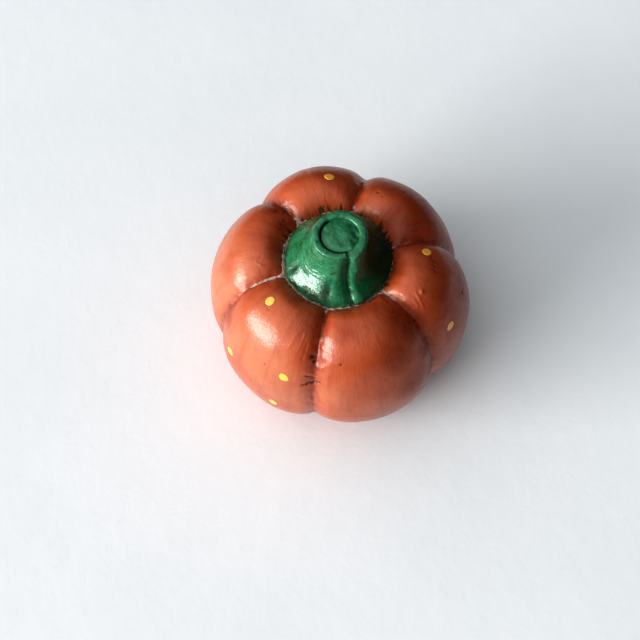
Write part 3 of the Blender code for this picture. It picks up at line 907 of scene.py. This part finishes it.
ORANGE = (0.38, 0.072, 0.017)
BRIGHT_ORANGE = (0.46, 0.102, 0.030)
RUBBED_AND_SHEEN_ORANGE = (0.48, 0.150, 0.066)
DEEP_ORANGE = (0.25, 0.022, 0.005)
DARK_WASH_AND_SHADE = (0.045, 0.010, 0.004)
CLAY = (0.46, 0.25, 0.16)
DARK_CLAY = (0.33, 0.17, 0.10)
PALE_SLIP = (0.62, 0.47, 0.39)
GREY_SLIP = (0.38, 0.28, 0.23)
DARK_GREEN = (0.004, 0.034, 0.014)
GREEN = (0.017, 0.145, 0.060)
BRIGHT_GREEN = (0.042, 0.235, 0.115)
BROWN = (0.06, 0.036, 0.018)
SLIP_SPECK = (0.12, 0.09, 0.06)
SLIP_GREEN = (0.03, 0.09, 0.045)
YELLOW = (0.86, 0.45, 0.07)
BRIGHT_YELLOW = (0.94, 0.55, 0.13)
DEEP_YELLOW = (0.55, 0.22, 0.02)
FLOOR_GREY = (0.80, 0.825, 0.84)
FLOOR_WHITE = (0.83, 0.85, 0.865)
FLOOR_SPECK = (0.55, 0.50, 0.45)

MIDDLE = (0.3, 0.7)  # the range that most of a noise lies in


def orange_paint():
    paint = Paint("burnt_orange_paint", Coat_Roughness=0.23, Specular_IOR_Level=0.4)
    strokes = paint.brushed_noise(0.55 * MM, 9 * MM, 2, 0.5, 1)
    broad = paint.brushed_noise(2.6 * MM, 16 * MM, 2, 0.5, 2)
    dashes = paint.brushed_noise(3.2 * MM, 0.4 * MM, 3, 0.6, 7)
    blotch = paint.noise(11 * MM, 3, 0.55, 3)
    fine = paint.noise(0.62 * MM, 3, 0.6, 4)
    rough_spots = paint.noise(1.6 * MM, 4, 0.65, 5)
    aged_and_shaded, crease = paint.field("aged_and_shaded"), paint.field("crease")
    colour = paint.mix(paint.between(blotch, *MIDDLE), ORANGE, BRIGHT_ORANGE)
    # Paler paint where it is rubbed, and a painted sheen on the lobes that face the window.
    rubbed_and_sheen = paint.times(paint.field("rubbed_and_sheen"), paint.between(blotch, 0.25, 0.6, 0.7, 1.1))
    colour = paint.cover(colour, RUBBED_AND_SHEEN_ORANGE, rubbed_and_sheen, 0.05, 0.9)
    colour = paint.cover(colour, DEEP_ORANGE, broad, 0.48, 0.74, 0.3)
    # Dark wash patches, and painted shade on the lobes away from the window and in the stem's shadow,
    # with streaks and dashes in them.
    colour = paint.cover(colour, DEEP_ORANGE, aged_and_shaded, 0.0, 1.0, 0.6)
    streaked = paint.times(paint.between(strokes, 0.54, 0.74), paint.between(aged_and_shaded, 0, 1, 0.25, 0.75))
    colour = paint.mix(streaked, colour, DEEP_ORANGE)
    # Darker paint in the creases, partly dark wash and partly painted shade, with thin dark wash over the
    # pores.
    colour = paint.cover(colour, DEEP_ORANGE, crease, 0.2, 0.95, 0.45)
    soaked = paint.times(crease, paint.between(rough_spots, 0.36, 0.66, 0.1, 1))
    colour = paint.cover(colour, DARK_WASH_AND_SHADE, soaked, 0.2, 0.95, 0.7)
    pores = paint.math("ADD", paint.between(rough_spots, 0.60, 0.72), paint.between(fine, 0.62, 0.76))
    pored = paint.times(pores, paint.between(crease, 0.0, 0.5, 0.08, 0.6))
    colour = paint.cover(colour, DARK_WASH_AND_SHADE, pored, 0.1, 1.0, 0.85)
    dashed = paint.times(paint.between(dashes, 0.48, 0.6), paint.between(aged_and_shaded, 0.3, 0.9))
    dashed = paint.times(dashed, paint.between(rough_spots, 0.38, 0.56))
    colour = paint.cover(colour, DARK_WASH_AND_SHADE, dashed, 0.1, 0.9, 0.6)
    stain = paint.times(paint.field("stain"), paint.between(fine, 0.3, 0.6, 0.35, 1.2))
    colour = paint.cover(colour, DARK_WASH_AND_SHADE, stain, 0.25, 0.75, 0.9)
    # Dark and green dabs round the stem, with painted shade next to its skirt, then bare slip in the
    # creases.
    dabs = paint.noise(1.9 * MM, 4, 0.6, 6)
    streaks = paint.brushed_noise(2.4 * MM, 6 * MM, 4, 0.6, 8)
    seat = paint.times(paint.field("seat"), paint.between(streaks, 0.44, 0.70, 0.3, 1.2))
    seat_dab_and_shade_colour = paint.mix(paint.between(rough_spots, 0.4, 0.6), DARK_WASH_AND_SHADE, DARK_GREEN)
    colour = paint.cover(colour, seat_dab_and_shade_colour, seat, 0.3, 0.95, 0.92)
    pale = paint.times(paint.field("pale"), paint.between(dabs, 0.36, 0.58, 0.2, 1.25))
    pale = paint.between(pale, 0.35, 0.7)
    colour = paint.mix(pale, colour, paint.mix(paint.between(fine, 0.35, 0.65), GREY_SLIP, PALE_SLIP))
    # Bare clay under the foot and inside.
    bare = paint.math("ADD", paint.field("foot"), paint.field("inside"))
    bare = paint.times(bare, paint.between(rough_spots, 0.3, 0.6, 0.6, 1.4))
    bare = paint.between(bare, 0.45, 0.7)
    colour = paint.mix(bare, colour, paint.mix(paint.between(fine, *MIDDLE), CLAY, DARK_CLAY))
    matt = paint.math("MAXIMUM", pale, bare)
    gloss = paint.between(rough_spots, *MIDDLE, 0.45, 0.6)
    roughness = paint.math("MAXIMUM", gloss, paint.between(matt, 0, 1, 0.3, 0.85))
    # Where old wash and painted shade lie, the paint is less glossy.
    paint.put(paint.shader.inputs["Coat Weight"], paint.between(aged_and_shaded, 0.0, 0.9, 0.7, 0.2))
    grain = paint.bump(fine, 0.05 * MM)
    brushed = paint.bump(strokes, 0.05 * MM, under=grain)
    lumps = paint.bump(rough_spots, 0.12 * MM, under=brushed)
    return paint.finish(colour, roughness, lumps)


def green_paint():
    paint = Paint("green_paint", Coat_Roughness=0.1, Specular_IOR_Level=0.3)
    blotch = paint.noise(4.5 * MM, 3, 0.55, 11)
    fine = paint.noise(0.6 * MM, 4, 0.6, 12)
    specks = paint.noise(1.3 * MM, 4, 0.65, 13)
    colour = paint.mix(paint.between(blotch, *MIDDLE), GREEN, BRIGHT_GREEN)
    colour = paint.cover(colour, DARK_GREEN, specks, 0.48, 0.74, 0.65)
    colour = paint.cover(colour, DARK_GREEN, fine, 0.58, 0.76, 0.5)
    # Dark paint, and painted shade in the seam's groove, round the disc, down the bore and on the side
    # away from the window.
    colour = paint.cover(colour, DARK_GREEN, paint.field("dark_paint_and_shade"), 0.1, 0.9, 0.92)
    worn = paint.times(paint.field("worn"), paint.between(specks, 0.42, 0.62, 0.05, 1.5))
    colour = paint.cover(colour, BROWN, worn, 0.35, 0.8, 0.85)
    low = paint.times(paint.field("low"), paint.between(specks, 0.38, 0.62, 0.1, 1.4))
    colour = paint.cover(colour, GREY_SLIP, low, 0.5, 0.85, 0.85)
    dull = paint.math("MAXIMUM", paint.field("dark_paint_and_shade"), paint.between(worn, 0.3, 0.8))
    paint.put(paint.shader.inputs["Coat Weight"], paint.between(dull, 0.1, 0.85, 0.85, 0.05))
    roughness = paint.between(specks, *MIDDLE, 0.22, 0.42)
    grain = paint.bump(fine, 0.06 * MM)
    return paint.finish(colour, roughness, paint.bump(specks, 0.09 * MM, under=grain))


def slip_paint():
    paint = Paint("bare_slip", Specular_IOR_Level=0.3)
    blotch = paint.noise(1.8 * MM, 4, 0.6, 21)
    fine = paint.noise(0.4 * MM, 4, 0.6, 22)
    colour = paint.mix(paint.between(blotch, 0.3, 0.62), GREY_SLIP, PALE_SLIP)
    colour = paint.cover(colour, SLIP_SPECK, fine, 0.55, 0.72, 0.7)
    stained = paint.noise(2.6 * MM, 3, 0.6, 23)
    colour = paint.cover(colour, SLIP_GREEN, stained, 0.5, 0.66, 0.8)
    roughness = paint.between(blotch, *MIDDLE, 0.6, 0.9)
    return paint.finish(colour, roughness, paint.bump(fine, 0.15 * MM))


def yellow_paint():
    paint = Paint("yellow_enamel", Coat_Weight=0.3, Coat_Roughness=0.1)
    blotch = paint.noise(1.1 * MM, 3, 0.55, 31)
    fine = paint.noise(0.35 * MM, 3, 0.6, 32)
    colour = paint.mix(paint.between(blotch, *MIDDLE), YELLOW, BRIGHT_YELLOW)
    colour = paint.cover(colour, DEEP_YELLOW, fine, 0.62, 0.8, 0.5)
    roughness = paint.between(blotch, *MIDDLE, 0.25, 0.45)
    return paint.finish(colour, roughness, paint.bump(fine, 0.05 * MM))


def floor_paint():
    paint = Paint("pale_floor", Specular_IOR_Level=0.3)
    cloud = paint.noise(60 * MM, 4, 0.6, 41)
    specks = paint.noise(7 * MM, 4, 0.7, 42)
    colour = paint.mix(paint.between(cloud, *MIDDLE), FLOOR_GREY, FLOOR_WHITE)
    colour = paint.cover(colour, FLOOR_SPECK, specks, 0.62, 0.74, 0.12)
    roughness = paint.between(cloud, *MIDDLE, 0.5, 0.65)
    return paint.finish(colour, roughness, paint.bump(specks, 0.1 * MM))


# ---- stage

CAMERA_ELEVATION = 63.53
CAMERA_DISTANCE = 0.400
LENS = 72.52
SHIFT = (-0.0285, -0.0370)


def add_camera():
    data = bpy.data.cameras.new("camera")
    data.lens = LENS
    data.sensor_width = 36
    data.shift_x, data.shift_y = SHIFT
    data.clip_start = 0.01
    camera = bpy.data.objects.new("camera", data)
    elevation = math.radians(CAMERA_ELEVATION)
    back = Vector((0, -math.cos(elevation), math.sin(elevation)))
    camera.location = Vector(CENTRE) + back * CAMERA_DISTANCE
    camera.rotation_euler = (math.pi / 2 - elevation, 0, 0)
    bpy.context.scene.collection.objects.link(camera)
    bpy.context.scene.camera = camera


def add_window(azimuth, elevation, distance, size, power, colour):
    """A soft panel of light that faces the object from this direction, in degrees."""
    data = bpy.data.lights.new("window", "AREA")
    data.shape = "RECTANGLE"
    data.size, data.size_y = size
    data.energy = power
    data.color = colour
    light = bpy.data.objects.new("window", data)
    a, e = math.radians(azimuth), math.radians(elevation)
    away = Vector((math.cos(a) * math.cos(e), math.sin(a) * math.cos(e), math.sin(e)))
    light.location = Vector(CENTRE) + away * distance
    light.rotation_mode = "QUATERNION"
    light.rotation_quaternion = away.to_track_quat("Z", "Y")
    light.visible_camera = False
    bpy.context.scene.collection.objects.link(light)


WINDOW = dict(
    azimuth=-155, elevation=14.5, distance=3.0, size=(2.3, 1.25), power=102, colour=(1.0, 0.99, 0.98)
)
FLOOR_RADIUS = 0.27
FLOOR_SIDES = 128


def add_floor():
    """A round table top. The room beyond it is dark in reflections."""
    mesh = bpy.data.meshes.new("floor")
    turns = np.linspace(0, math.tau, FLOOR_SIDES, endpoint=False)
    edge = FLOOR_RADIUS * np.stack((np.cos(turns), np.sin(turns), 0 * turns), -1)
    mesh.from_pydata(edge.tolist(), [], [tuple(range(FLOOR_SIDES))])
    mesh.materials.append(floor_paint())
    floor = bpy.data.objects.new("floor", mesh)
    floor.location.z = cad_box[0].z
    bpy.context.scene.collection.objects.link(floor)


SKY_SIDE = (-0.58, -0.24, 0.78)  # towards the bright side of the room
SKY_COLOUR = (0.95, 0.98, 1.0)
SKY_DARK = 0.015
SKY_BRIGHT = 0.93
SKY_EDGES = (0.12, 1.0)  # how far a direction faces that side, from dark to bright
BACKDROP = (0.60, 0.615, 0.625)


def add_world():
    """Soft daylight that comes from one side of the room, and a plain pale backdrop."""
    world = bpy.data.worlds.new("room")
    bpy.context.scene.world = world
    world.use_nodes = True
    room = Nodes(world.node_tree)
    light = room.tree.nodes["Background"]
    direction = room.node("ShaderNodeTexCoord", {}).outputs["Generated"]
    facing = room.node("ShaderNodeVectorMath", {0: direction, 1: SKY_SIDE}, operation="DOT_PRODUCT")
    level = room.between(facing.outputs["Value"], *SKY_EDGES, SKY_DARK, SKY_BRIGHT)
    room.put(light.inputs["Color"], SKY_COLOUR)
    room.put(light.inputs["Strength"], level)
    backdrop = room.node("ShaderNodeBackground", {"Color": BACKDROP})
    seen_directly = room.node("ShaderNodeLightPath", {}).outputs["Is Camera Ray"]
    shaders = {0: seen_directly, 1: light.outputs[0], 2: backdrop.outputs[0]}
    surface = room.node("ShaderNodeMixShader", shaders).outputs[0]
    room.put(room.tree.nodes["World Output"].inputs["Surface"], surface)


def main():
    bpy.context.scene.view_settings.view_transform = "Standard"
    bpy.context.scene.view_settings.look = "High Contrast"
    orange, green, slip, yellow = orange_paint(), green_paint(), slip_paint(), yellow_paint()
    upper_body(orange)
    lower_body(orange)
    joint_slip(slip)
    stem_roll(green)
    stem_disc(green)
    slip_line(slip)
    for side, (lobe, places) in DOTS.items():
        for number, (across, degrees) in enumerate(places, 1):
            node = f"dot_{side}_{number}"
            paint_dot(f"paint_{node}", lobe, across, degrees, yellow, node)
    add_floor()
    add_world()
    add_camera()
    add_window(**WINDOW)


main()
